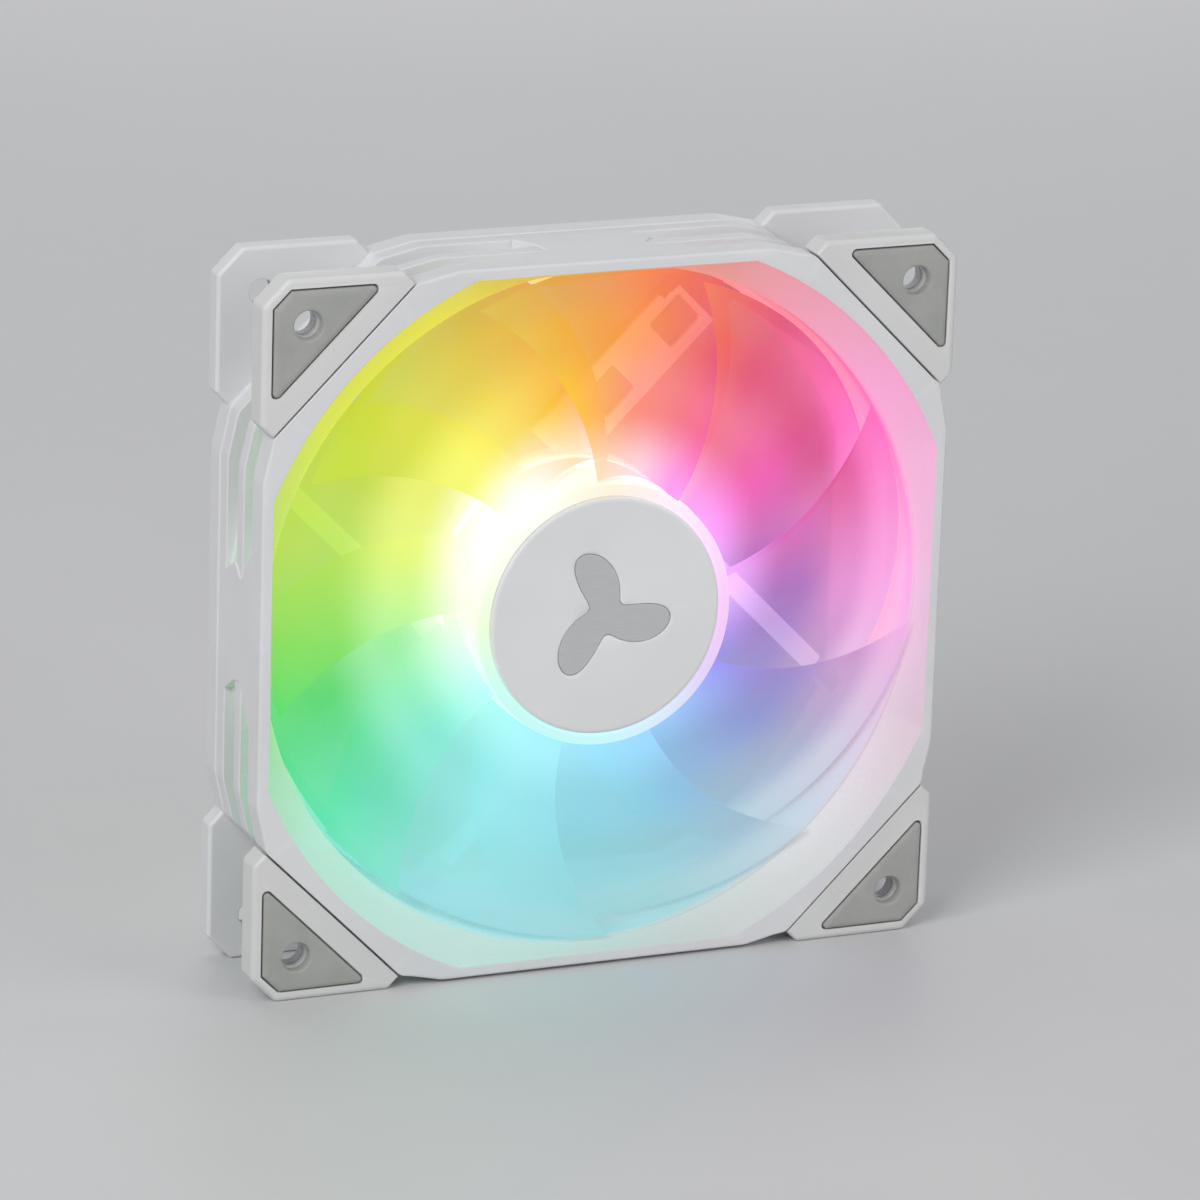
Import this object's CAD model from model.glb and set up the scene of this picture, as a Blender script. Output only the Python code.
import bpy
import bmesh
import math
from mathutils import Matrix, Vector, noise


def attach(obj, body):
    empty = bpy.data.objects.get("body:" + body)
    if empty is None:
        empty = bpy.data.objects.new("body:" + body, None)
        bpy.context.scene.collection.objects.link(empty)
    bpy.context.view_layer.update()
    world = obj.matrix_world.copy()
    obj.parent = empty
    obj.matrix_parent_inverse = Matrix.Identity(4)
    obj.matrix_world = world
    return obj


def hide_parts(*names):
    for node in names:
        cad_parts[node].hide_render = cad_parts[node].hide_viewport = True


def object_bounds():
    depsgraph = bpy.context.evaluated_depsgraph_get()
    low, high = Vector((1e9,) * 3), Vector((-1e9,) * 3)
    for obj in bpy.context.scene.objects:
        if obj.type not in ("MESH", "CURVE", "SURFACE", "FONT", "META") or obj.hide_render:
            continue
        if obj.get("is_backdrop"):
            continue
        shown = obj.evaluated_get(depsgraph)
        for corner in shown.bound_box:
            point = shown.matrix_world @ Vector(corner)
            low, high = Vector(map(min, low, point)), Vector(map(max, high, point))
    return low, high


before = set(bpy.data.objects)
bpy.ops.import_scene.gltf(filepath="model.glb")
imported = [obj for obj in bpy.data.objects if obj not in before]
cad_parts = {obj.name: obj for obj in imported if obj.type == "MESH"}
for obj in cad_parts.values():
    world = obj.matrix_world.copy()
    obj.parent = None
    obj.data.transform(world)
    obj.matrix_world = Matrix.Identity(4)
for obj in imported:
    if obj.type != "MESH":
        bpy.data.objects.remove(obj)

CAD_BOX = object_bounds()
MM = 0.001
HALF_DEPTH = 12.9
TAU = 2 * math.pi
CORNERS = [("top_right", 0), ("top_left", 1), ("bottom_left", 2), ("bottom_right", 3)]

# Dimensions of the fan, in millimetres. D is the depth from the front pads' faces.
D_FRONT, D_REAR, DEPTH = 0.4, 25.4, 25.8
HOLE = 52.5
BARREL_R, BORE_R = 59.0, 57.3
MOUTH_R, MOUTH_FLAT = 62.3, 57.4
OUTLET_R, OUTLET_FLAT = 54.5, 50.4
HUB_R, TIP_R, CAP_R = 21.9, 56.3, 20.0


# ------------------------------------------------------------------ mesh tools
def make(name, verts, faces, smooth=40, scale=MM):
    """A mesh object from points in millimetres (x, y, z)."""
    me = bpy.data.meshes.new(name)
    me.from_pydata([(v[0] * scale, v[1] * scale, v[2] * scale) for v in verts], [], faces)
    me.validate()
    o = bpy.data.objects.new(name, me)
    bpy.context.scene.collection.objects.link(o)
    fix(o, smooth)
    return o


def fix(o, smooth=None):
    """Merges doubles and turns the faces outwards."""
    bm = bmesh.new()
    bm.from_mesh(o.data)
    bmesh.ops.remove_doubles(bm, verts=bm.verts, dist=1e-7)
    bmesh.ops.recalc_face_normals(bm, faces=bm.faces)
    if bm.calc_volume(signed=True) < 0:
        bmesh.ops.reverse_faces(bm, faces=bm.faces)
    bm.to_mesh(o.data)
    bm.free()
    if smooth is not None:
        shade(o, smooth)


def shade(o, angle=40):
    """Smooth shading, with edges over the angle kept sharp."""
    me = o.data
    bm = bmesh.new()
    bm.from_mesh(me)
    lim = math.radians(angle)
    for e in bm.edges:
        e.smooth = len(e.link_faces) == 2 and e.calc_face_angle(0) < lim
    for f in bm.faces:
        f.smooth = True
    bm.to_mesh(me)
    bm.free()


def apply_modifiers(o):
    dg = bpy.context.evaluated_depsgraph_get()
    me = bpy.data.meshes.new_from_object(o.evaluated_get(dg), depsgraph=dg)
    old = o.data
    o.modifiers.clear()
    o.data = me
    bpy.data.meshes.remove(old)


def drop(o):
    me = o.data
    bpy.data.objects.remove(o)
    bpy.data.meshes.remove(me)


def joined(parts):
    """One object from several that don't touch."""
    if len(parts) == 1:
        return parts[0]
    bm = bmesh.new()
    for p in parts:
        bm.from_mesh(p.data)
    bm.to_mesh(parts[0].data)
    bm.free()
    for p in parts[1:]:
        drop(p)
    return parts[0]


def boolean(o, others, op):
    """Adds or takes away tools that don't touch one another."""
    t = joined(others)
    m = o.modifiers.new("b", "BOOLEAN")
    m.operation = op
    m.solver = "MANIFOLD"
    m.object = t
    apply_modifiers(o)
    drop(t)
    return o


def weighted(o):
    m = o.modifiers.new("weights", "WEIGHTED_NORMAL")
    m.mode = "FACE_AREA"
    m.weight = 50
    m.keep_sharp = True


def P(x, d, z):
    """A point given by its depth."""
    return (x, d - HALF_DEPTH, z)


def turned(name, profile, n=160, smooth=40, closed=True):
    """A body of revolution about the fan's axis from [(radius, depth)]."""
    verts, faces, idx = [], [], []
    for r, d in profile:
        row = []
        if r < 1e-6:
            verts.append(P(0, d, 0))
            row = [len(verts) - 1] * n
        else:
            for i in range(n):
                a = TAU * i / n
                verts.append(P(r * math.cos(a), d, r * math.sin(a)))
                row.append(len(verts) - 1)
        idx.append(row)
    m = len(profile)
    on_axis = profile[0][0] < 1e-6 and profile[-1][0] < 1e-6
    for k in range(m - 1 if on_axis else m):
        a, b = idx[k], idx[(k + 1) % m]
        for i in range(n):
            j = (i + 1) % n
            q = [a[i], a[j], b[j], b[i]]
            q = [v for t, v in enumerate(q) if v not in q[:t]]
            if len(q) > 2:
                faces.append(q)
    return make(name, verts, faces, smooth)


def soften(profile, radii, n=4):
    """Rounds the corners of a closed or open polyline [(r, d)]; radii maps index to radius."""
    out = []
    N = len(profile)
    for i, p in enumerate(profile):
        r = radii.get(i, 0) if isinstance(radii, dict) else radii
        if not r or i in (0, N - 1) and profile[0][0] < 1e-6:
            out.append(p)
            continue
        out += arc(profile[i - 1], p, profile[(i + 1) % N], r, n)
    return out


def arc(a, b, c, r, n):
    """Fillet at b between a and c."""
    a, b, c = Vector(a), Vector(b), Vector(c)
    u, v = (a - b), (c - b)
    lu, lv = u.length, v.length
    u.normalize(); v.normalize()
    cosang = max(-1.0, min(1.0, u.dot(v)))
    half = math.acos(cosang) / 2
    if half < 0.02 or half > math.pi / 2 - 0.01:
        return [tuple(b)]
    t = r / math.tan(half)
    lim = 0.48 * min(lu, lv)
    if t > lim:
        t = lim
        r = t * math.tan(half)
    mid = (u + v).normalized() * (r / math.sin(half)) + b
    s, e = b + u * t, b + v * t
    a0 = math.atan2(s.y - mid.y, s.x - mid.x)
    a1 = math.atan2(e.y - mid.y, e.x - mid.x)
    while a1 - a0 > math.pi: a1 -= TAU
    while a1 - a0 < -math.pi: a1 += TAU
    return [(mid.x + r * math.cos(a0 + (a1 - a0) * k / n), mid.y + r * math.sin(a0 + (a1 - a0) * k / n))
            for k in range(n + 1)]


def fillet(poly, r, n=4):
    """Rounds the corners of a closed polygon; r is one radius or one per corner."""
    out = []
    N = len(poly)
    for i, p in enumerate(poly):
        ri = r[i] if isinstance(r, (list, tuple)) else r
        out += arc(poly[i - 1], p, poly[(i + 1) % N], ri, n) if ri else [p]
    return out


def offset(poly, w, k=None):
    """A counter-clockwise polygon moved inwards by w, times k[i] for the edge that starts at corner i."""
    out = []
    N = len(poly)
    k = k or [1.0] * N
    for i in range(N):
        a, b, c = Vector(poly[i - 1]), Vector(poly[i]), Vector(poly[(i + 1) % N])
        e1, e2 = (b - a).normalized(), (c - b).normalized()
        n1, n2 = Vector((-e1.y, e1.x)), Vector((-e2.y, e2.x))
        w1, w2 = w * k[i - 1], w * k[i]
        det = n1.x * n2.y - n1.y * n2.x
        if abs(det) < 1e-4:
            out.append((b.x + n1.x * w1, b.y + n1.y * w1))
        else:
            out.append((b.x + (w1 * n2.y - w2 * n1.y) / det, b.y + (w2 * n1.x - w1 * n2.x) / det))
    return out


def inset(poly, radii, w, k=None, n=4):
    """The polygon moved inwards by w, with its corner radii changed to suit."""
    N = len(poly)
    r = radii if isinstance(radii, (list, tuple)) else [radii] * N
    turn = []
    for i in range(N):
        a, b, c = poly[i - 1], poly[i], poly[(i + 1) % N]
        cr = (b[0] - a[0]) * (c[1] - b[1]) - (b[1] - a[1]) * (c[0] - b[0])
        turn.append(1 if cr > 0 else -1)
    q = offset(poly, w, k) if abs(w) > 1e-9 else poly
    return fillet(q, [max(ri - t * w, 0.05) if ri else 0 for ri, t in zip(r, turn)], n)


def area(poly):
    return sum(poly[i - 1][0] * poly[i][1] - poly[i][0] * poly[i - 1][1] for i in range(len(poly))) / 2


def prism(name, poly, levels, put=None, smooth=35, radii=0, k=None, fine=4):
    """A prism with rounded edges: levels are (inset, depth) from one cap to the other."""
    if area(poly) < 0:
        poly = poly[::-1]
        radii = radii[::-1] if isinstance(radii, (list, tuple)) else radii
    put = put or (lambda p, d: P(p[0], d, p[1]))
    verts, faces = [], []
    n = len(inset(poly, radii, 0, k, fine))
    for w, d in levels:
        verts += [put(p, d) for p in inset(poly, radii, w, k, fine)]
    for k in range(len(levels) - 1):
        for i in range(n):
            j = (i + 1) % n
            faces.append([k * n + i, k * n + j, (k + 1) * n + j, (k + 1) * n + i])
    faces.append(list(range(n))[::-1])
    faces.append([(len(levels) - 1) * n + i for i in range(n)])
    return make(name, verts, faces, smooth)


def edge(r, d, sign, n=3, h=None):
    """Levels of a rounded edge, r wide and h deep, that starts at a cap at depth d and goes in the sense of sign."""
    h = r if h is None else h
    return [(r * (1 - math.sin(math.pi / 2 * k / n)), d + sign * h * (1 - math.cos(math.pi / 2 * k / n)))
            for k in range(n + 1)]


def slab(d0, d1, r0, r1=None, n=3):
    r1 = r0 if r1 is None else r1
    return edge(r0, d0, 1, n) + edge(r1, d1, -1, n)[::-1]


def quarter(p, k):
    x, z = p
    return [(x, z), (-z, x), (-x, -z), (z, -x)][k]


def at_corner(k):
    return lambda p, d: P(*(lambda q: (q[0], d, q[1]))(quarter(p, k)))


def circle(cx, cz, r, n=48):
    return [(cx + r * math.cos(TAU * i / n), cz + r * math.sin(TAU * i / n)) for i in range(n)]


def hole_tool(k, r, d0, d1, flare=0.3, at=(HOLE, HOLE)):
    """Cutter for a round hole from d0 to d1 whose two edges come out rounded."""
    lev = [(-flare - 0.2, d0 - 2), (-flare, d0)]
    lev += [(-flare * (1 - math.sin(t * math.pi / 8)), d0 + flare * (1 - math.cos(t * math.pi / 8))) for t in range(1, 5)]
    lev += [(-flare * (1 - math.sin(t * math.pi / 8)), d1 - flare * (1 - math.cos(t * math.pi / 8))) for t in range(4, 0, -1)]
    lev += [(-flare, d1), (-flare - 0.2, d1 + 2)]
    return prism("hole", circle(at[0], at[1], r), lev, at_corner(k))


# ----------------------------------------------------------------- node tools
class Tree:
    def __init__(self, name):
        self.mat = bpy.data.materials.new(name)
        self.mat.use_nodes = True
        self.nt = self.mat.node_tree
        self.nt.nodes.clear()
        self.out = self.nt.nodes.new("ShaderNodeOutputMaterial")
        self.bsdf = self.nt.nodes.new("ShaderNodeBsdfPrincipled")
        self.link(self.bsdf.outputs[0], self.out.inputs["Surface"])

    def link(self, a, b):
        self.nt.links.new(a, b)

    def put(self, socket, value):
        if hasattr(value, "is_linked") or isinstance(value, bpy.types.NodeSocket):
            self.link(value, socket)
        elif isinstance(value, (tuple, list)) and len(value) == 3 and socket.type == "RGBA":
            socket.default_value = (*value, 1)
        else:
            socket.default_value = value

    def set(self, **kw):
        for k, v in kw.items():
            self.put(self.bsdf.inputs[k.replace("_", " ")], v)
        return self

    def math(self, op, a, b=None, c=None, clamp=False):
        n = self.nt.nodes.new("ShaderNodeMath")
        n.operation = op
        n.use_clamp = clamp
        for s, v in zip(n.inputs, (a, b, c)):
            if v is not None:
                self.put(s, v)
        return n.outputs[0]

    def span(self, v, a, b, c=0.0, d=1.0, smooth=False):
        n = self.nt.nodes.new("ShaderNodeMapRange")
        n.interpolation_type = "SMOOTHSTEP" if smooth else "LINEAR"
        for s, x in zip(n.inputs[:5], (v, a, b, c, d)):
            self.put(s, x)
        return n.outputs[0]

    def mix(self, f, a, b, mode="MIX"):
        n = self.nt.nodes.new("ShaderNodeMix")
        n.data_type = "RGBA"
        n.blend_type = mode
        n.clamp_factor = True
        self.put(n.inputs["Factor"], f)
        for s, v in ((n.inputs[6], a), (n.inputs[7], b)):
            self.put(s, v)
        return n.outputs[2]

    def fmix(self, f, a, b):
        n = self.nt.nodes.new("ShaderNodeMix")
        n.data_type = "FLOAT"
        self.put(n.inputs["Factor"], f)
        self.put(n.inputs[2], a)
        self.put(n.inputs[3], b)
        return n.outputs[0]

    def ramp(self, f, stops, mode="LINEAR"):
        n = self.nt.nodes.new("ShaderNodeValToRGB")
        n.color_ramp.interpolation = mode
        e = n.color_ramp.elements
        while len(e) > 1:
            e.remove(e[-1])
        e[0].position, e[0].color = stops[0][0], (*stops[0][1], 1)
        for p, c in stops[1:]:
            q = e.new(p)
            q.color = (*c, 1)
        self.put(n.inputs[0], f)
        return n.outputs[0]

    def noise(self, scale, detail=2.0, rough=0.5, vec=None, distort=0.0):
        n = self.nt.nodes.new("ShaderNodeTexNoise")
        n.inputs["Scale"].default_value = scale
        n.inputs["Detail"].default_value = detail
        n.inputs["Roughness"].default_value = rough
        n.inputs["Distortion"].default_value = distort
        self.put(n.inputs["Vector"], vec if vec is not None else self.place())
        return n.outputs["Fac"]

    def voronoi(self, scale, feature="F1"):
        n = self.nt.nodes.new("ShaderNodeTexVoronoi")
        n.feature = feature
        n.inputs["Scale"].default_value = scale
        self.put(n.inputs["Vector"], self.place())
        return n.outputs["Distance"]

    def place(self):
        if not hasattr(self, "_obj"):
            self._obj = self.nt.nodes.new("ShaderNodeTexCoord").outputs["Object"]
        return self._obj

    def world(self):
        if not hasattr(self, "_pos"):
            self._pos = self.nt.nodes.new("ShaderNodeNewGeometry").outputs["Position"]
        return self._pos

    def xyz(self, v):
        n = self.nt.nodes.new("ShaderNodeSeparateXYZ")
        self.put(n.inputs[0], v)
        return n.outputs[0], n.outputs[1], n.outputs[2]

    def bump(self, height, strength=0.2, dist=0.0002, normal=None):
        n = self.nt.nodes.new("ShaderNodeBump")
        n.inputs["Strength"].default_value = strength
        n.inputs["Distance"].default_value = dist
        self.put(n.inputs["Height"], height)
        if normal is not None:
            self.put(n.inputs["Normal"], normal)
        return n.outputs[0]

    def edges(self, lo=0.5, hi=0.62):
        """0 on faces, 1 on outer edges."""
        g = self.nt.nodes.new("ShaderNodeNewGeometry")
        return self.span(g.outputs["Pointiness"], lo, hi)


def lin(r, g, b):
    """sRGB 0-255 to linear."""
    f = lambda c: c / 255 / 12.92 if c <= 10.3 else ((c / 255 + 0.055) / 1.055) ** 2.4
    return (f(r), f(g), f(b))


# The fan's light: colours around the axis, from the hub to the tips.
GLOW_INNER = [(0, (225, 170, 255)), (25, (255, 158, 255)), (48, (254, 154, 234)), (72, (247, 211, 219)),
              (95, (250, 214, 176)), (125, (253, 255, 255)), (155, (255, 255, 243)), (180, (240, 255, 223)),
              (210, (180, 255, 240)), (240, (166, 239, 245)), (275, (156, 226, 254)), (308, (157, 203, 255)),
              (335, (153, 144, 242))]
GLOW_MID = [(0, (169, 105, 186)), (30, (236, 82, 175)), (60, (241, 116, 132)), (80, (247, 133, 104)),
            (100, (244, 192, 18)), (130, (243, 241, 97)), (160, (222, 240, 109)), (185, (158, 239, 155)),
            (212, (125, 226, 202)), (242, (148, 227, 231)), (285, (138, 203, 224)), (320, (138, 153, 212))]
GLOW_OUTER = [(0, (216, 135, 202)), (25, (214, 79, 145)), (55, (224, 64, 109)), (80, (244, 133, 34)),
              (105, (230, 183, 55)), (135, (211, 215, 50)), (165, (173, 218, 70)), (195, (77, 214, 103)),
              (215, (96, 213, 172)), (242, (146, 222, 223)), (285, (141, 199, 209)), (325, (162, 166, 197))]
GLOW_TIP = [(0, (243, 162, 223)), (28, (248, 110, 191)), (55, (221, 80, 117)), (80, (242, 131, 64)),
            (105, (219, 173, 59)), (135, (202, 213, 40)), (165, (184, 221, 70)), (192, (88, 217, 102)),
            (215, (92, 223, 171)), (240, (149, 216, 222)), (285, (157, 206, 211)), (325, (203, 205, 222))]
GLOW_PALE = [(0, (236, 195, 221)), (35, (255, 167, 217)), (62, (249, 161, 172)), (90, (225, 168, 98)),
             (120, (238, 234, 32)), (145, (227, 240, 63)), (180, (151, 219, 111)), (215, (183, 237, 214)),
             (240, (187, 223, 214)), (285, (194, 204, 199)), (315, (207, 207, 208)), (338, (221, 195, 210))]


GLOW_RIM = [(0, (249, 196, 248)), (30, (254, 216, 254)), (60, (253, 238, 250)), (90, (254, 242, 212)),
            (120, (252, 254, 242)), (150, (252, 254, 238)), (180, (234, 254, 216)), (210, (195, 253, 238)),
            (240, (188, 249, 246)), (270, (192, 248, 252)), (300, (212, 232, 252)), (330, (224, 202, 248))]
# The duct's wall behind the blades, and the struts, as light given off.
DEEP = [(0, (0.89, 0.38, 0.55)), (30, (0.84, 0.25, 0.45)), (60, (0.78, 0.17, 0.15)), (90, (0.60, 0.42, 0.17)),
        (125, (0.41, 0.42, 0.06)), (180, (0.25, 0.49, 0.15)), (230, (0.12, 0.35, 0.31)),
        (270, (0.29, 0.44, 0.44)), (300, (0.3, 0.54, 0.56)), (330, (0.51, 0.39, 0.44))]
STRUT = [(0, (1.0, 0.80, 0.95)), (20, (1.0, 0.72, 0.95)), (40, (0.7, 0.5, 0.6)), (62, (0.56, 0.50, 0.46)),
         (75, (0.56, 0.50, 0.44)), (93, (0.38, 0.32, 0.20)), (115, (0.34, 0.34, 0.22)), (150, (0.34, 0.40, 0.15)),
         (175, (0.32, 0.42, 0.18)), (197, (0.26, 0.40, 0.25)), (230, (0.12, 0.20, 0.18)), (290, (0.12, 0.20, 0.22)),
         (315, (0.40, 0.40, 0.50)), (335, (1.0, 0.84, 1.0))]

# What leaks through the wall into the side grooves, as light given off.
GLOW_WALL = [(0, (100, 80, 94)), (60, (96, 88, 92)), (90, (92, 92, 90)), (120, (90, 94, 84)),
             (150, (72, 98, 70)), (180, (58, 98, 64)), (205, (44, 104, 66)), (240, (64, 92, 82)),
             (270, (80, 90, 92)), (320, (86, 84, 94))]


class Glow(Tree):
    """A material lit by the fan's light, which stays where it is when the rotor turns."""

    def polar(self):
        x, y, z = self.xyz(self.world())
        t = self.math("DIVIDE", self.math("ARCTAN2", z, x), TAU)
        turn = self.math("FRACT", self.math("ADD", t, 1.0))
        r = self.math("MULTIPLY", self.math("SQRT", self.math(
            "ADD", self.math("MULTIPLY", x, x), self.math("MULTIPLY", z, z))), 1000.0)
        d = self.math("ADD", self.math("MULTIPLY", y, 1000.0), HALF_DEPTH)
        return turn, r, d

    def wheel(self, turn, stops):
        s = [(a / 360, lin(*c)) for a, c in stops]
        return self.ramp(turn, s + [(1.0, s[0][1])])


# ------------------------------------------------------------------ materials
def plastic(name, base, rough=0.42, tint=(0.0, 0.0, 0.0), glow=None):
    """White moulded ABS with a fine spark-eroded grain, slight tone drift and paler worn edges."""
    t = Tree(name)
    mott = t.noise(38, 3, 0.55)
    fine = t.noise(2600, 2, 0.6)
    c = t.mix(t.span(mott, 0.35, 0.65), tuple(v * 0.965 for v in base), tuple(min(1, v * 1.02) for v in base))
    c = t.mix(t.math("MULTIPLY", t.span(fine, 0.55, 0.75), 0.10), c, tuple(v * 0.86 for v in base))
    c = t.mix(t.math("MULTIPLY", t.edges(0.52, 0.60), 0.35), c, (0.93, 0.93, 0.93))
    t.set(Base_Color=c, Roughness=t.fmix(t.span(fine, 0.3, 0.7), rough - 0.05, rough + 0.10))
    t.set(Specular_IOR_Level=0.45, Normal=t.bump(fine, 0.10, 0.0001))
    t.bsdf.inputs["Subsurface Weight"].default_value = 0.0
    return t


WHITE = (0.73, 0.73, 0.745)
CAPW = (0.675, 0.675, 0.665)


def frame_material():
    t = Glow("frame_white_plastic")
    turn, r, d = t.polar()
    mott = t.noise(38, 3, 0.55)
    fine = t.noise(2600, 2, 0.6)
    c = t.mix(t.span(mott, 0.35, 0.65), tuple(v * 0.965 for v in WHITE), tuple(v * 1.02 for v in WHITE))
    c = t.mix(t.math("MULTIPLY", t.span(fine, 0.55, 0.75), 0.10), c, tuple(v * 0.86 for v in WHITE))
    c = t.mix(t.math("MULTIPLY", t.edges(0.52, 0.60), 0.1), c, (0.9, 0.9, 0.9))
    t.set(Base_Color=c, Roughness=t.fmix(t.span(fine, 0.3, 0.7), 0.38, 0.52),
          Specular_IOR_Level=0.45, Normal=t.bump(fine, 0.10, 0.0001))
    return t


def duct_material():
    """The duct's inside and bellmouth: the same plastic, lit by the rotor."""
    t = Glow("duct_lit_plastic")
    turn, r, d = t.polar()
    fine = t.noise(2600, 2, 0.6)
    lit = t.mix(t.span(d, 5.0, 8.0, 0, 1, True), t.wheel(turn, GLOW_PALE), t.wheel(turn, GLOW_TIP))
    c = t.mix(t.span(fine, 0.3, 0.7), (0.52, 0.52, 0.53), (0.48, 0.48, 0.49))
    t.set(Base_Color=t.mix(0.8, c, lit, "MULTIPLY"),
          Roughness=t.fmix(t.span(fine, 0.3, 0.7), 0.36, 0.5), Specular_IOR_Level=0.4,
          Normal=t.bump(fine, 0.08, 0.0001))
    deep = t.ramp(turn, [(a / 360, c) for a, c in DEEP] + [(1.0, DEEP[0][1])])
    k = t.span(d, 6.5, 11, 0, 1, True)
    t.set(Emission_Color=t.mix(k, lit, deep), Emission_Strength=t.fmix(k, t.span(d, 0.5, 6, 0.50, 0.55, True), t.math(
        "MULTIPLY", t.span(d, 19.3, 20.3, 0.72, 1.35, True), t.span(d, 22.8, 25.2, 1.0, 0.3, True))))
    return t


def strut_material():
    """Struts and motor base where they face the rotor, strongly lit by the motor's lights."""
    t = Glow("strut_lit_plastic")
    turn, r, d = t.polar()
    fine = t.noise(2600, 2, 0.6)
    lit = t.ramp(turn, [(a / 360, c) for a, c in STRUT] + [(1.0, STRUT[0][1])])
    t.set(Base_Color=t.mix(t.span(fine, 0.3, 0.7), (0.66, 0.66, 0.67), (0.60, 0.60, 0.61)),
          Roughness=t.fmix(t.span(fine, 0.3, 0.7), 0.36, 0.5), Specular_IOR_Level=0.4,
          Normal=t.bump(fine, 0.08, 0.0001))
    t.set(Emission_Color=lit, Emission_Strength=t.math("MULTIPLY", t.span(r, 24, 50, 3.1, 2.6, True), t.span(d, 21.2, 23.4, 1.0, 0.06, True)))
    return t


def wall_material():
    """The grooves' floors and walls: the rotor's light comes through the thin plastic."""
    t = Glow("groove_lit_plastic")
    turn, r, d = t.polar()
    fine = t.noise(2600, 2, 0.6)
    cloud = t.noise(70, 2, 0.5)
    t.set(Base_Color=t.mix(fine, (0.60, 0.60, 0.61), (0.66, 0.66, 0.67)),
          Roughness=t.fmix(fine, 0.4, 0.5), Normal=t.bump(fine, 0.08, 0.0001))
    t.set(Emission_Color=t.wheel(turn, GLOW_WALL), Emission_Strength=t.span(cloud, 0.3, 0.7, 0.85, 1.15))
    return t


def blade_material():
    """Frosted blades: they scatter the hub's light, so their own shading is faint."""
    t = Glow("frosted_blade")
    turn, r, d = t.polar()
    c = t.mix(t.span(r, 22.5, 34, 0, 1, True), t.wheel(turn, GLOW_INNER), t.wheel(turn, GLOW_MID))
    c = t.mix(t.span(r, 36, 46, 0, 1, True), c, t.wheel(turn, GLOW_OUTER))
    c = t.mix(t.span(r, 47, 54, 0, 1, True), c, t.wheel(turn, GLOW_TIP))
    cloud = t.noise(60, 3, 0.5)
    fine = t.noise(3000, 1, 0.5)
    c = t.mix(t.math("MULTIPLY", t.span(cloud, 0.3, 0.7), 0.06), c, (0.9, 0.9, 0.9))
    t.set(Base_Color=t.mix(1.0, c, (0.20, 0.20, 0.20), "MULTIPLY"), Roughness=t.fmix(fine, 0.48, 0.6),
          Specular_IOR_Level=0.12, Normal=t.bump(fine, 0.04, 0.0001), Alpha=0.74)
    t.set(Emission_Color=c, Emission_Strength=t.span(r, 22, 34, 0.92, 0.90, True))
    return t


def hub_material():
    """Frosted hub shell over the lights, brightest at its rear edge."""
    t = Glow("frosted_hub")
    turn, r, d = t.polar()
    fine = t.noise(2600, 1, 0.5)
    hot = t.mix(t.span(d, 1.2, 6, 0.0, 0.25, True), t.wheel(turn, GLOW_RIM), (1.0, 1.0, 0.97))
    t.set(Base_Color=t.mix(t.span(fine, 0.3, 0.7), (0.15, 0.15, 0.155), (0.13, 0.13, 0.135)), Roughness=t.fmix(fine, 0.36, 0.48),
          Specular_IOR_Level=0.3, Normal=t.bump(fine, 0.05, 0.0001))
    t.set(Emission_Color=hot, Emission_Strength=t.fmix(t.span(d, 17.4, 18.4, 0, 1, True), t.span(d, 0.9, 4, 0.88, 0.95, True), 5.0))
    return t


def cap_material():
    """Satin lacquered cover with a very fine grain."""
    t = Tree("hub_cap_satin")
    fine = t.noise(3200, 2, 0.6)
    soft = t.noise(45, 2, 0.5)
    c = t.mix(t.span(soft, 0.3, 0.7), (0.750, 0.750, 0.755), (0.800, 0.800, 0.810))
    c = t.mix(t.math("MULTIPLY", t.edges(0.52, 0.6), 0.4), c, (0.85, 0.85, 0.85))
    t.set(Base_Color=c, Roughness=t.fmix(fine, 0.36, 0.48), Specular_IOR_Level=0.5, Normal=t.bump(fine, 0.07, 0.0001))
    return t


def emblem_material():
    t = Tree("emblem_brushed")
    x, y, z = t.xyz(t.place())
    n = t.nt.nodes.new("ShaderNodeCombineXYZ")
    t.put(n.inputs[0], t.math("MULTIPLY", x, 0.06))
    t.put(n.inputs[1], y)
    t.put(n.inputs[2], z)
    lines = t.noise(5200, 3, 0.7, n.outputs[0])
    c = t.mix(t.span(lines, 0.3, 0.7), (0.50, 0.505, 0.51), (0.56, 0.565, 0.57))
    t.set(Base_Color=c, Metallic=0.1, Roughness=t.fmix(lines, 0.38, 0.5), Normal=t.bump(lines, 0.05, 0.0001))
    return t


def rubber_material():
    t = Tree("pad_grey_rubber")
    fine = t.noise(3000, 2, 0.65)
    dust = t.noise(180, 4, 0.6)
    c = t.mix(t.span(dust, 0.35, 0.7), (0.350, 0.355, 0.334), (0.398, 0.403, 0.381))
    c = t.mix(t.math("MULTIPLY", t.edges(0.52, 0.62), 0.5), c, (0.46, 0.465, 0.44))
    t.set(Base_Color=c, Roughness=t.fmix(fine, 0.72, 0.9), Specular_IOR_Level=0.3, Normal=t.bump(fine, 0.25, 0.00012),
          Sheen_Weight=0.12, Sheen_Roughness=0.6)
    return t


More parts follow.
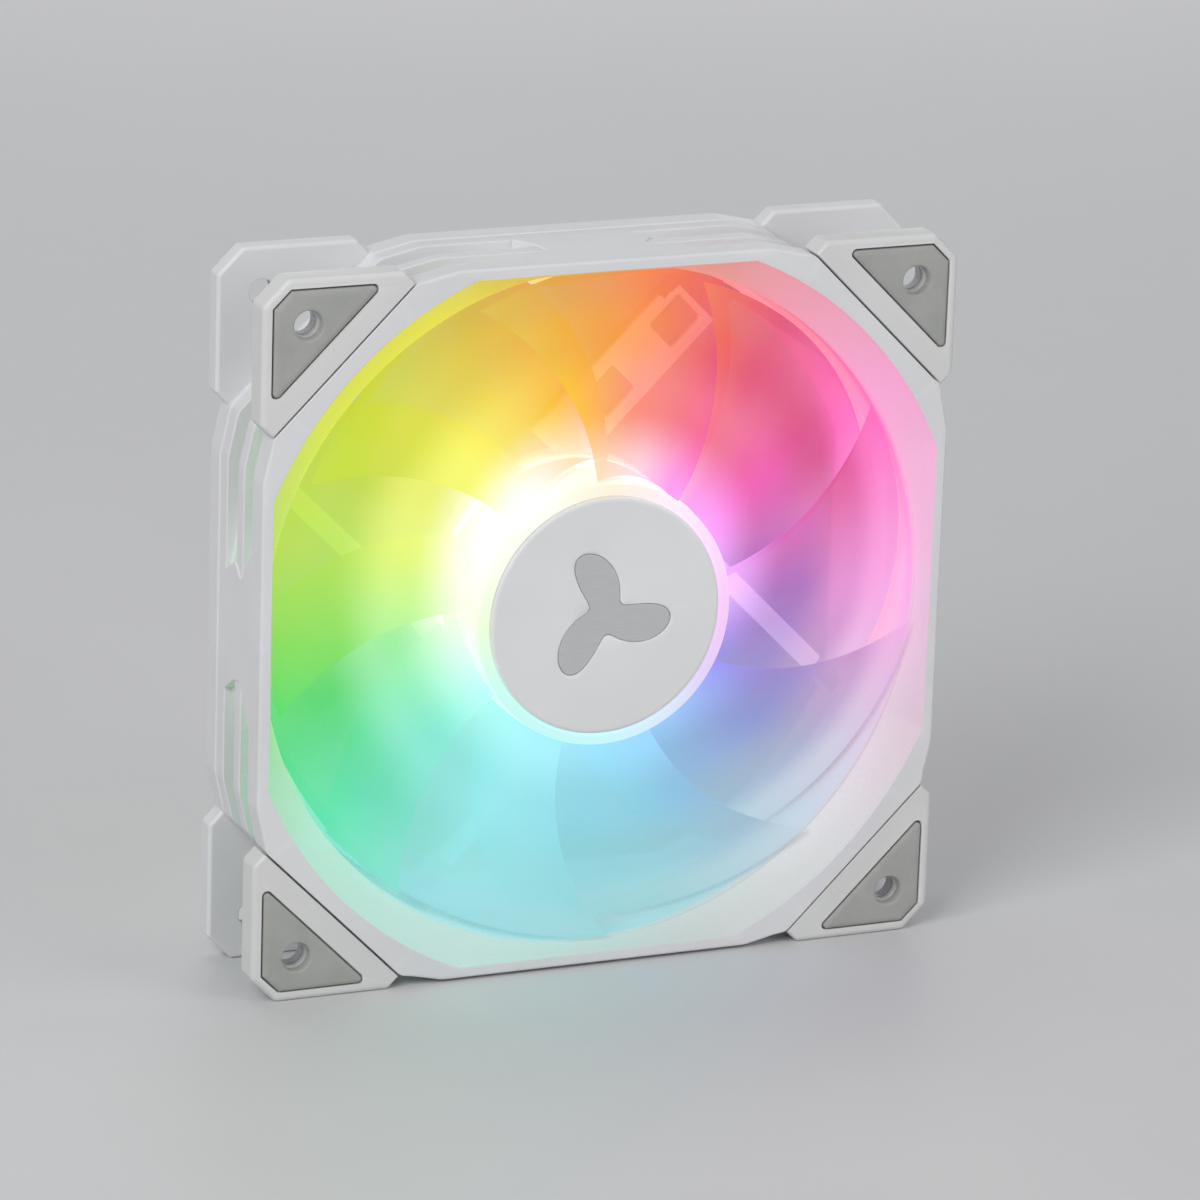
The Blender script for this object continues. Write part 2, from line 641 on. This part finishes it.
def metal(name, a, b, rough=(0.25, 0.4), metallic=1.0):
    """Turned metal: fine rings about the axis."""
    t = Tree(name)
    x, y, z = t.xyz(t.place())
    r = t.math("SQRT", t.math("ADD", t.math("MULTIPLY", x, x), t.math("MULTIPLY", z, z)))
    n = t.nt.nodes.new("ShaderNodeCombineXYZ")
    t.put(n.inputs[0], t.math("MULTIPLY", r, 1.0))
    t.put(n.inputs[1], y)
    lines = t.noise(6000, 3, 0.6, n.outputs[0])
    blot = t.noise(120, 3, 0.5)
    c = t.mix(t.span(blot, 0.35, 0.65), a, b)
    t.set(Base_Color=c, Metallic=metallic, Roughness=t.fmix(lines, *rough), Normal=t.bump(lines, 0.15, 0.00008))
    return t


def matt(name, a, b, scale=900, rough=(0.5, 0.7), bump=0.2, metallic=0.0, spec=0.4):
    t = Tree(name)
    f = t.noise(scale, 3, 0.6)
    g = t.noise(scale / 12, 3, 0.5)
    c = t.mix(t.span(g, 0.35, 0.65), a, b)
    t.set(Base_Color=c, Metallic=metallic, Roughness=t.fmix(f, *rough), Normal=t.bump(f, bump, 0.0001), Specular_IOR_Level=spec)
    return t


def copper_material():
    """Enamelled wire, wound side by side."""
    t = Tree("enamelled_copper")
    x, y, z = t.xyz(t.place())
    r = t.math("SQRT", t.math("ADD", t.math("MULTIPLY", x, x), t.math("MULTIPLY", z, z)))
    w = t.math("ABSOLUTE", t.math("SINE", t.math("MULTIPLY", r, math.pi / 0.00026)))
    c = t.mix(w, (0.20, 0.055, 0.015), (0.62, 0.25, 0.085))
    t.set(Base_Color=c, Metallic=0.85, Roughness=t.fmix(w, 0.45, 0.25), Normal=t.bump(w, 0.7, 0.00012), Coat_Weight=0.4, Coat_Roughness=0.15)
    return t


def board_material():
    t = Tree("board_solder_mask")
    v = t.voronoi(420, "DISTANCE_TO_EDGE")
    f = t.noise(1500, 2, 0.5)
    c = t.mix(t.span(v, 0.03, 0.05), (0.035, 0.26, 0.10), (0.018, 0.15, 0.05))
    t.set(Base_Color=c, Roughness=t.fmix(f, 0.25, 0.4), Normal=t.bump(t.span(v, 0.03, 0.05), 0.2, 0.00005), Coat_Weight=0.3)
    return t


def led_material():
    t = Glow("led_lens")
    turn, r, d = t.polar()
    f = t.noise(2500, 2, 0.5)
    t.set(Base_Color=t.mix(f, (0.9, 0.86, 0.6), (0.98, 0.96, 0.85)), Roughness=t.fmix(f, 0.15, 0.3))
    t.set(Emission_Color=t.wheel(turn, GLOW_INNER), Emission_Strength=t.fmix(f, 3.0, 3.5))
    return t


def label_material():
    """A blank satin film with a plain ring border."""
    t = Tree("blank_label_film")
    x, y, z = t.xyz(t.place())
    r = t.math("MULTIPLY", t.math("SQRT", t.math("ADD", t.math("MULTIPLY", x, x), t.math("MULTIPLY", z, z))), 1000.0)
    band = t.math("MULTIPLY", t.span(r, 18.3, 18.4), t.span(r, 18.9, 18.8))
    f = t.noise(900, 3, 0.6)
    c = t.mix(t.span(f, 0.3, 0.7), (0.74, 0.745, 0.75), (0.80, 0.80, 0.805))
    c = t.mix(t.math("MULTIPLY", band, 0.7), c, (0.42, 0.43, 0.45))
    t.set(Base_Color=c, Roughness=t.fmix(f, 0.28, 0.38), Normal=t.bump(f, 0.05, 0.0001), Coat_Weight=0.2, Coat_Roughness=0.2)
    return t


def paint(o, *trees):
    o.data.materials.clear()
    for t in trees:
        o.data.materials.append(t.mat)


# ------------------------------------------------------------- the frame ring
OUTLINE = []
for k in range(4):
    OUTLINE += [quarter(p, k) for p in ((59.5, -27), (59.5, 27), (57.85, 34.3), (34.3, 57.85))]


def outline_r(a, inset=0.0):
    """Distance from the axis to the ring's outline."""
    c, s = math.cos(a), math.sin(a)
    best = 1e9
    N = len(OUTLINE)
    for i in range(N):
        (x0, z0), (x1, z1) = OUTLINE[i - 1], OUTLINE[i]
        ex, ez = x1 - x0, z1 - z0
        L = math.hypot(ex, ez)
        nx, nz = ez / L, -ex / L          # outward for a counter-clockwise outline
        k = nx * c + nz * s
        if k > 1e-6:
            best = min(best, (nx * x0 + nz * z0 - inset) / k)
    return best


def cut_circle(r, flat, a):
    return min(r, flat / max(abs(math.cos(a)), abs(math.sin(a))))


def eased(f, a, w=math.radians(0.55), n=3):
    """f averaged over a small angle, which rounds its corners."""
    return sum(f(a + w * k / n) for k in range(-n, n + 1)) / (2 * n + 1)


def ring_profile(a):
    """The frame's section at one angle, as a closed loop of (radius, depth)."""
    O = eased(outline_r, a)
    Orib = eased(lambda t: outline_r(t, 0.3), a)
    Ostep = eased(lambda t: outline_r(t, 0.2), a)
    Rm = eased(lambda t: cut_circle(MOUTH_R, MOUTH_FLAT, t), a)
    Rr = eased(lambda t: cut_circle(OUTLET_R, OUTLET_FLAT, t), a)
    F = min(BARREL_R, Ostep - 0.3)
    pts = []

    def corner(r, d, r_in, d_in, r_out, d_out, n=3):
        """Quarter round at (r, d), from (r_in, d_in) to (r_out, d_out)."""
        for i in range(n + 1):
            t = math.pi / 2 * i / n
            u, v = math.cos(t), math.sin(t)
            # superposes the two tangent offsets
            pts.append((r + (r_in - r) * (1 - v) + (r_out - r) * (1 - u),
                        d + (d_in - d) * (1 - v) + (d_out - d) * (1 - u)))

    e = 0.35
    corner(Rm, D_FRONT, Rm, D_FRONT + e, Rm + e, D_FRONT)          # mouth lip
    off = abs(math.degrees(a) % 90 - 45)                           # degrees from the diagonal
    e = 0.14 + 0.36 * min(1, max(0, (off - 14.4) / 1.6))           # sharper along the caps' seams
    corner(O, D_FRONT, O - e, D_FRONT, O, D_FRONT + e)             # front outer edge
    e = 0.3
    g = min(0.35, (O - F) * 0.3)
    corner(O, 5.4, O, 5.4 - e, O - g, 5.4)
    corner(F, 5.4, F + g, 5.4, F, 5.4 + 0.35)
    g = min(0.3, (Orib - F) * 0.4)
    corner(F, 10.0, F, 10.0 - 0.3, F + g, 10.0)
    corner(Orib, 10.0, Orib - g, 10.0, Orib, 10.0 + 0.35)
    corner(Orib, 13.0, Orib, 13.0 - 0.35, Orib - g, 13.0)
    corner(F, 13.0, F + g, 13.0, F, 13.0 + 0.3)
    g = min(0.3, (Ostep - F) * 0.4)
    corner(F, 17.5, F, 17.5 - 0.3, F + g, 17.5)
    corner(Ostep, 17.5, Ostep - g, 17.5, Ostep, 17.5 + 0.35)
    pts.append((Ostep, 20.7))
    g = min(0.25, (O - Ostep) * 0.45)
    corner(Ostep + 0.0, 20.8, Ostep, 20.74, Ostep + g, 20.8, 1)
    corner(O, 20.8, O - g, 20.8, O, 21.1)
    e = 0.5
    corner(O, D_REAR, O, D_REAR - e, O - e, D_REAR)
    e = 0.5
    corner(Rr, D_REAR, Rr + e, D_REAR, Rr, D_REAR - e)
    pts.append((Rr, 22.6))
    for i in range(1, 8):                                          # outlet taper
        t = i / 8
        s = t * t * (3 - 2 * t)
        pts.append((Rr + (BORE_R - Rr) * s, 22.4 - 3.0 * t))
    pts.append((BORE_R, 19.0))
    pts.append((BORE_R, 12.0))
    pts += [(BORE_R, 6.0), (BORE_R, 5.85), (BORE_R + 0.05, 5.75), (BORE_R + 0.4, 5.7), (BORE_R + 0.45, 5.45), (BORE_R + 0.2, 5.35)]
    pts.append((BORE_R + 0.03 * (Rm - BORE_R), 5.2))
    for i in range(1, 8):                                          # bellmouth
        t = i / 8
        s = t * (0.82 + 0.18 * t)
        pts.append((BORE_R + (Rm - BORE_R) * (0.02 + 0.98 * s), 5.2 - (5.2 - D_FRONT - 0.4) * t))
    return pts


def build_frame():
    angles = sorted({round(i * 0.5, 3) for i in range(720)}
                    | {round((q * 90 + s * b + o) % 360, 3) for q in range(4) for s in (1, -1)
                       for b in (22.37, 22.87, 24.41, 30.66) for o in (-0.6, -0.3, 0, 0.3, 0.6)})
    verts, faces = [], []
    n = len(angles)
    m = None
    for t in angles:
        a = math.radians(t)
        prof = ring_profile(a)
        m = len(prof)
        verts += [P(r * math.cos(a), d, r * math.sin(a)) for r, d in prof]
    for i in range(n):
        j = (i + 1) % n
        for k in range(m):
            l = (k + 1) % m
            faces.append([i * m + k, i * m + l, j * m + l, j * m + k])
    ring = make("frame", verts, faces)

    adds = []
    # flush blocks in the middle of each side
    block = [(5.1, 16.3), (10.3, 8.5), (13.0, 9.0), (17.8, 12.0), (17.8, -8.3), (13.0, -11.0), (10.3, -8.5), (5.1, -15.3)]
    block = block[::-1]
    for k in range(4):
        def put(p, h, k=k):
            x, z = quarter((h, p[1]), k)
            return P(x, p[0], z)
        adds.append(prism("block", block, [(0, 57.9), (0, 59.15), (0.03, 59.28), (0.11, 59.39), (0.24, 59.45), (0.35, 59.47)],
                          put, radii=[0.5, 0.8, 0.5, 0.5, 0.5, 0.5, 0.8, 0.5], fine=3))
    # rear lugs and front tabs
    lug = [(56.0, 31.2), (57.85, 34.3), (60, 36.5), (60, 55.8), (55.8, 60), (36.5, 60), (34.3, 57.85), (31.2, 56.0)]
    lug_r = [0, 0.9, 0.9, 1.0, 1.0, 0.9, 0.9, 0]
    tab = [(53.0, 31.8), (55.62, 34.38), (58.4, 37.16), (58.4, 55.14), (55.14, 58.4), (37.16, 58.4), (34.38, 55.62), (31.8, 53.0)]
    tab_r = [0, 0.4, 0.5, 0.6, 0.6, 0.5, 0.4, 0]
    for k in range(4):
        adds.append(prism("lug", lug, slab(21.6, D_REAR, 0.7, 0.6, 5), at_corner(k), radii=lug_r))
        adds.append(prism("tab", tab, slab(3.4, 5.38, 0.12, 0.3), at_corner(k), radii=tab_r))
    boolean(ring, adds, "UNION")

    # struts and motor base
    base = turned("base", soften([
        (0, 24.9), (20.8, 24.9), (20.8, D_REAR), (22.5, D_REAR), (22.5, 20.8), (20.9, 20.8), (20.9, 22.4),
        (9.5, 22.4), (9.5, 20.1), (7.5, 20.1), (7.5, 17.2), (5.2, 17.2), (5.2, 24.2), (0, 24.2)],
        {1: 0.15, 2: 0.25, 3: 0.5, 4: 0.45, 5: 0.3, 6: 0.3, 7: 0.3, 8: 0.3, 9: 0.3, 10: 0.3, 11: 0.2, 12: 0.2}), 128)

    def bar(off, w, d0, d1, t0, t1, q, r=0.9, flare=0.0):
        """A strut's box: t runs outwards, with an aerofoil-like rounded section."""
        a = math.pi / 4 + q * math.pi / 2
        c, s = math.cos(a), math.sin(a)
        sec = fillet([(off - w / 2, d0), (off + w / 2, d0), (off + w / 2, d1), (off - w / 2, d1)], [r, r, 0.35, 0.35], 5)
        verts, faces = [], []
        n = len(sec)
        steps = 24
        for i in range(steps + 1):
            u = i / steps
            t = t0 + (t1 - t0) * u
            grow = 1 + flare * (max(0, 1 - u * 7) ** 2 + max(0, (u - 0.86) * 7) ** 2)
            for o, d in sec:
                oo = off + (o - off) * grow
                verts.append(P(t * c - oo * s, d, t * s + oo * c))
        for i in range(steps):
            for j in range(n):
                l = (j + 1) % n
                faces.append([i * n + j, i * n + l, (i + 1) * n + l, (i + 1) * n + j])
        faces.append(list(range(n))[::-1])
        faces.append([steps * n + j for j in range(n)])
        return make("bar", verts, faces)

    bars = [bar(16.5, 10.0, 20.8, D_REAR - 0.02, 14.6, 55.2, 0, 0.7, 0.12),
            bar(20, 3.4, 20.8, D_REAR - 0.02, 10.6, 53.6, 1, 1.2, 0.35),
            bar(20, 3.4, 20.8, D_REAR - 0.02, 10.6, 53.6, 2, 1.2, 0.35),
            bar(20, 3.4, 20.8, D_REAR - 0.02, 10.6, 53.6, 3, 1.2, 0.35)]

    def slot(off, w, d0, d1, t0, t1, r=0.6):
        a = math.pi / 4
        c, s = math.cos(a), math.sin(a)
        poly = [(t0, off - w / 2), (t1, off - w / 2), (t1, off + w / 2), (t0, off + w / 2)]
        put = lambda p, d: P(p[0] * c - p[1] * s, d, p[0] * s + p[1] * c)
        return prism("slot", poly, [(-0.6, d0 - 1), (-0.25, d0), (-0.08, d0 + 0.08), (0, d0 + 0.25), (0, d1)], put, radii=r, fine=5)

    cuts = [slot(16.5, 6.5, 20.8, 24.5, 24.6, 31.6, 0.7), slot(16.5, 6.5, 20.8, 24.5, 40.2, 47.2, 0.7)]
    a = math.pi / 4
    ca, sa = math.cos(a), math.sin(a)
    chan = [(15.5, 13.0), (56, 13.0), (56, 20.0), (15.5, 20.0)]
    channel = prism("chan", chan, [(0, 22.8), (0, 25.15), (-0.1, 25.32), (-0.3, 25.4), (-0.4, 27)],
                    lambda p, d: P(p[0] * ca - p[1] * sa, d, p[0] * sa + p[1] * ca), radii=[0.8, 0, 0, 0.8])
    for b in bars:
        boolean(base, [b], "UNION")
    boolean(ring, [base], "UNION")
    cuts += [hole_tool(k, 2.15, 21.6, 23.9 + 0.0, 0.2) for k in range(4)]
    cuts += [prism("thole", circle(HOLE, HOLE, 2.15), [(0, 2.5), (0, 7)], at_corner(k)) for k in range(4)]
    pocket = [(58.4, 39.6), (58.4, 55.4), (55.4, 58.4), (39.6, 58.4)]
    boolean(ring, cuts, "DIFFERENCE")
    cuts = [prism("pocket", pocket, [(0, 23.9), (0, 25.15), (-0.05, 25.28), (-0.15, 25.37), (-0.25, 25.4), (-0.3, 27)],
                  at_corner(k), radii=[1.2, 0.5, 0.5, 1.2], fine=5) for k in range(4)]
    boolean(ring, cuts + [channel], "DIFFERENCE")
    # the board side of the base stays open behind the label recess
    return ring


def sort_frame_faces(o):
    """0 plain outside, 1 lit inside, 2 duct wall seen from outside."""
    for f in o.data.polygons:
        c = f.center / MM
        n = f.normal
        r = math.hypot(c.x, c.z)
        d = c.y + HALF_DEPTH
        a = math.atan2(c.z, c.x)
        radial = (n.x * math.cos(a) + n.z * math.sin(a))
        f.material_index = 0
        if r < BORE_R + (0.6 if d < 6.3 else 0.2) and d > 0.3 and (radial < -0.25 or r < 50.3) and not (d > D_REAR - 0.15 and n.y > 0.6 and r > 50):
            f.material_index = 1
        elif r < MOUTH_R + 0.2 and d < 5.6 and radial < -0.2 and n.y < 0.6:
            f.material_index = 1
        elif 5.45 < d < 17.45 and r > 57.5 and r < outline_r(a) - 0.55:
            f.material_index = 2
        if 57.0 < r < 58.3 and 4.8 < d < 6.3 and n.y < 0.2:
            f.material_index = 1
        if n.y > 0.8 and d > 24 and r < 60:
            f.material_index = 0
        elif r < 50.5 and d > 17 and not (r > 49.8 and radial < -0.5):
            f.material_index = 3 if n.y < 0.35 and d < 24.2 else 0


fr = build_frame()
fix(fr)
sort_frame_faces(fr)
shade(fr, 32)
weighted(fr)
paint(fr, frame_material(), duct_material(), wall_material(), strut_material())
sort_frame_faces(fr)
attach(fr, "frame")
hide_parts("frame")

# ------------------------------------------------------- corner caps and pads
cap_mat = plastic("cap_white_plastic", CAPW, 0.46)
rub_mat = rubber_material()
s0 = 0.42 / 4.35
ax, az = 57.85 + s0 * 2.15, 34.3 + s0 * 2.2
cap_poly = [(ax, az), (60, 36.5), (60, 55.8), (55.8, 60), (36.5, 60), (az, ax)]
cap_r = [0.45, 1.2, 1.4, 1.4, 1.2, 0.45]
cap_k = [0.6, 1, 1, 1, 0.6, 0.14]              # the seam's edge stays nearly sharp
cavity = [(56.33, 34.67), (58.7, 37.04), (58.7, 55.26), (55.26, 58.7), (37.04, 58.7), (34.67, 56.33)]
cavity_r = [0, 0.4, 0.6, 0.6, 0.4, 0]
pocket_poly = [(58.4, 39.6), (58.4, 55.4), (55.4, 58.4), (39.6, 58.4)]
pad_poly = [(58.1, 40.32), (58.1, 55.28), (55.28, 58.1), (40.32, 58.1)]

for name, k in CORNERS:
    put = at_corner(k)
    cap = prism("corner_cap_" + name, cap_poly, edge(0.95, D_FRONT, 1, 6, 0.8) + edge(0.25, 5.4, -1, 3)[::-1], put,
                radii=cap_r, k=cap_k, fine=6)
    boolean(cap, [prism("cav", cavity, [(0, 3.1), (0, 7)], put, radii=cavity_r),
                  prism("poc", pocket_poly, [(-0.4, -1), (-0.16, D_FRONT), (-0.07, 0.43), (-0.02, 0.48), (0, 0.56), (0, 1.9)], put,
                        radii=[0.85, 0.4, 0.4, 0.85], fine=6)], "DIFFERENCE")
    boolean(cap, [hole_tool(k, 2.15, 1.9, 3.1, 0.12)], "DIFFERENCE")
    fix(cap)
    shade(cap, 32)
    weighted(cap)
    paint(cap, cap_mat)
    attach(cap, "frame"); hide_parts("corner_cap_" + name)

    for side, d0, sg in (("front", 0.0, 1), ("rear", DEPTH, -1)):
        lev = edge(1.0, d0, sg, 6, 0.42) + [(0, d0 + sg * 1.6), (0.15, d0 + sg * 1.8)]
        pad = prism("%s_pad_%s" % (side, name), pad_poly, lev, put, radii=[0.6, 0.4, 0.4, 0.6], fine=6)
        lo, hi = sorted((d0, d0 + sg * 1.8))
        boolean(pad, [hole_tool(k, 2.4, lo, hi, 0.4)], "DIFFERENCE")
        fix(pad)
        shade(pad, 32)
        weighted(pad)
        paint(pad, rub_mat)
        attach(pad, "frame"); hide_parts("%s_pad_%s" % (side, name))


# -------------------------------------------------------------------- impeller
def blade_loop(s, k):
    """Closed section of blade k at span s: points (r, angle, depth)."""
    r0, r1 = 20.9, TIP_R
    r = r0 + (r1 - r0) * s
    lead = math.radians(13 + 20 * max(0, (r - 21.2) / 35.1) ** 1.4)
    sc = max(0, (r - 21.2) / 35.1)
    width = math.radians(63 - 13 * math.sqrt(sc))
    front, back = 3.0 + 0.8 * sc, 18.6 - 1.4 * sc
    tip = min(1.0, (TIP_R - r) / 0.5)
    root = 0.75 * math.exp(-max(0, r - HUB_R) / 0.7)
    pts = []
    N = 26

    def at(c, h):
        a = lead - width * c
        camber = 0.7 * c + 0.3 * c * c
        return (r, a + k * TAU / 9, front + (back - front) * camber + h)

    def half(c):
        return (0.30 + 0.8 * math.sqrt(max(0, c * (1 - c))) * (1 - 0.25 * sc)) * (0.35 + 0.65 * math.sqrt(max(tip, 0))) + root * min(1, 6 * c * (1 - c) + 0.15)

    for i in range(N + 1):
        c = i / N
        pts.append(at(c, -half(c)))
    for i in range(1, 4):
        t = math.pi * i / 4
        pts.append(at(1 + 0.30 * math.sin(t) / (r * width), -half(1) * math.cos(t)))
    for i in range(N, -1, -1):
        c = i / N
        pts.append(at(c, half(c)))
    for i in range(1, 4):
        t = math.pi * i / 4
        pts.append(at(-0.30 * math.sin(t) / (r * width), half(0) * math.cos(t)))
    return pts


def build_blade(k):
    spans = [0, 0.02, 0.035] + [0.05 + 0.93 * i / 26 for i in range(27)] + [0.988, 0.994, 0.998, 1.0]
    verts, faces = [], []
    n = None
    for s in spans:
        loop = blade_loop(s, k)
        n = len(loop)
        verts += [P(r * math.cos(a), d, r * math.sin(a)) for r, a, d in loop]
    for i in range(len(spans) - 1):
        for j in range(n):
            l = (j + 1) % n
            faces.append([i * n + j, i * n + l, (i + 1) * n + l, (i + 1) * n + j])
    faces.append(list(range(n)))
    faces.append([(len(spans) - 1) * n + j for j in range(n)][::-1])
    return make("blade", verts, faces)


imp = turned("impeller", soften([
    (20.3, 0.9), (21.9, 0.9), (21.9, 20.0), (20.4, 20.0), (20.4, 3.4), (18.2, 3.4), (18.2, 6.8), (17.3, 6.8),
    (17.3, 3.4), (3.4, 3.4), (3.4, 2.2), (20.3, 2.2)],
    {0: 0.15, 1: 0.55, 2: 0.4, 3: 0.3, 4: 0.4, 6: 0.2, 7: 0.2, 9: 0.2, 10: 0.2}, 5), 216)
blades = [build_blade(k) for k in range(9)]
tool = turned("core", [(0, 6.9), (20.4, 6.9), (20.4, 21.5), (0, 21.5)], 216)
boolean(imp, blades, "UNION")
boolean(imp, [tool], "DIFFERENCE")
fix(imp)
paint(imp, hub_material(), blade_material())
for f in imp.data.polygons:
    c = f.center / MM
    f.material_index = 1 if math.hypot(c.x, c.z) > HUB_R + 0.25 else 0
shade(imp, 38)
weighted(imp)
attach(imp, "rotor"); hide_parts("impeller")


# ---------------------------------------------------------- hub cap and emblem
def petals(grow=0.0, n=240):
    out = []
    for i in range(n):
        a = TAU * i / n
        w = math.cos(1.5 * (a - math.pi / 2)) ** 2
        r = 3.2 + 8.2 * w ** 1.3 + grow
        t = a + 0.035 * r
        out.append((r * math.cos(t), r * math.sin(t)))
    return out


cap = turned("hub_cap", [(0, 0.9), (6, 0.9), (12, 0.9), (17, 0.9)] + [
    (19.2 + 0.8 * math.sin(t * math.pi / 16), 0.9 + 0.55 * (1 - math.cos(t * math.pi / 16))) for t in range(9)] + [
    (20.0, 1.9), (0, 1.9)], 216)
boolean(cap, [prism("e", petals(0.12), [(-0.35, -0.5), (-0.18, 0.9), (-0.04, 0.98), (0, 1.1), (0, 1.38)])], "DIFFERENCE")
fix(cap)
shade(cap, 32)
weighted(cap)
paint(cap, cap_material())
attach(cap, "rotor"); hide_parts("hub_cap")

emb = prism("cap_emblem", petals(0.0), edge(0.12, 1.0, 1, 3) + [(0, 1.34)])
weighted(emb)
paint(emb, emblem_material())
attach(emb, "rotor"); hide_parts("cap_emblem")

# ------------------------------------------------------------------ rear label
lab = turned("rear_label", [(0, 25.0), (20.3, 25.0), (20.4, 25.04), (20.4, 25.14), (20.3, 25.2), (0, 25.2)], 160)
paint(lab, label_material())
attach(lab, "frame"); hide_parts("rear_label")

# ------------------------------------------------- carried-over CAD inner nodes
steel = metal("turned_steel", (0.50, 0.50, 0.51), (0.60, 0.60, 0.61))
brass = metal("turned_brass", (0.70, 0.50, 0.20), (0.80, 0.60, 0.28))
sinter = matt("sintered_bronze", (0.36, 0.25, 0.12), (0.48, 0.35, 0.19), 2200, (0.5, 0.75), 0.5, 0.8)
magnet = matt("bonded_magnet", (0.035, 0.035, 0.038), (0.06, 0.06, 0.064), 1600, (0.55, 0.8), 0.3)
dark = matt("dark_nylon", (0.03, 0.036, 0.036), (0.05, 0.058, 0.058), 1200, (0.45, 0.6), 0.2)
seal = matt("seal_rubber", (0.02, 0.02, 0.02), (0.035, 0.035, 0.036), 1500, (0.65, 0.85), 0.3, 0, 0.3)
core = metal("laminated_core", (0.26, 0.27, 0.28), (0.38, 0.39, 0.40), (0.35, 0.55))
chip = matt("moulded_epoxy", (0.012, 0.012, 0.013), (0.022, 0.022, 0.024), 2600, (0.4, 0.55), 0.2)
ceram = matt("ceramic_body", (0.36, 0.26, 0.15), (0.46, 0.35, 0.22), 1800, (0.4, 0.55), 0.2)
coil = copper_material()
board = board_material()
led = led_material()
FINISH = {"rotor_yoke": steel, "shaft": steel, "shaft_bushing": brass, "bearing_tube": brass, "bearing_sleeve": sinter,
          "ring_magnet": magnet, "retaining_ring": dark, "oil_seal": seal, "thrust_washer": dark, "bearing_plug": dark,
          "stator_core": core, "insulator_front": dark, "insulator_rear": dark, "motor_board": board,
          "driver_ic": chip, "hall_sensor": chip, "filter_capacitor": ceram}
for i in range(4):
    FINISH["coil_%d" % (i + 1)] = coil
for i in range(8):
    FINISH["led_%d" % (i + 1)] = led
for name, tree in FINISH.items():
    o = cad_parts[name]
    if not o.data.materials:
        o.data.materials.append(tree.mat)
    for s in o.material_slots:
        s.link = "OBJECT"
        s.material = tree.mat

# ------------------------------------------------------------- floor and light
FLOOR = -0.060
me = bpy.data.meshes.new("floor")
N, W = 40, 2.4
vs = [((i / N - 0.5) * 2 * W, (j / N - 0.35) * 2 * W, FLOOR) for j in range(N + 1) for i in range(N + 1)]
me.from_pydata(vs, [], [[j * (N + 1) + i, j * (N + 1) + i + 1, (j + 1) * (N + 1) + i + 1, (j + 1) * (N + 1) + i]
                        for j in range(N) for i in range(N)])
floor = bpy.data.objects.new("floor", me)
bpy.context.scene.collection.objects.link(floor)
ft = Tree("pale_floor")
fn = ft.noise(14, 3, 0.5)
ft.set(Base_Color=ft.mix(ft.span(fn, 0.3, 0.7), (0.60, 0.60, 0.61), (0.63, 0.63, 0.635)), Roughness=ft.fmix(fn, 0.45, 0.55), Specular_IOR_Level=0.3)
paint(floor, ft)
floor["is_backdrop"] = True

world = bpy.data.worlds.new("studio")
bpy.context.scene.world = world
world.use_nodes = True
bg = world.node_tree.nodes["Background"]
bg.inputs[0].default_value = (0.80, 0.82, 0.85, 1)
bg.inputs[1].default_value = 0.31


def lamp(name, loc, at, size, power, colour=(1, 1, 1)):
    l = bpy.data.lights.new(name, "AREA")
    l.shape = "RECTANGLE"
    l.size, l.size_y = size
    l.energy = power
    l.color = colour
    o = bpy.data.objects.new(name, l)
    o.location = loc
    d = Vector(at) - Vector(loc)
    o.rotation_euler = d.to_track_quat("-Z", "Y").to_euler()
    bpy.context.scene.collection.objects.link(o)
    return o


lamp("key", (-0.72, -0.52, 0.62), (0, 0, 0), (0.6, 0.6), 6.9)
lamp("fill", (0.75, -0.75, 0.35), (0, 0, 0), (0.7, 0.7), 3.7)
lamp("top", (0.0, 0.35, 0.85), (0, 0, 0), (0.6, 0.4), 1.5)
lamp("rear", (0.40, 1.05, 0.12), (0, 0, 0), (0.9, 0.3), 1.5)

# ---------------------------------------------------------------------- camera
cam = bpy.data.cameras.new("camera")
cam.sensor_width = 36
cam.lens = 195.0
cam.clip_start, cam.clip_end = 0.05, 20
co = bpy.data.objects.new("camera", cam)
right = Vector((0.92182, -0.38624, 0.03267))
up = Vector((0.08581, 0.28552, 0.95452))
back = right.cross(up).normalized()
right = up.cross(back).normalized()
m = Matrix((right, up.normalized(), back)).transposed().to_4x4()
m.translation = Vector((-0.39756, -0.93173, 0.31360))
co.matrix_world = m
bpy.context.scene.collection.objects.link(co)
bpy.context.scene.camera = co
bpy.context.scene.view_settings.view_transform = "Standard"

lo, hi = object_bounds()
{"cad": [list(map(float, p)) for p in CAD_BOX], "visual": [list(map(float, lo)), list(map(float, hi))]}
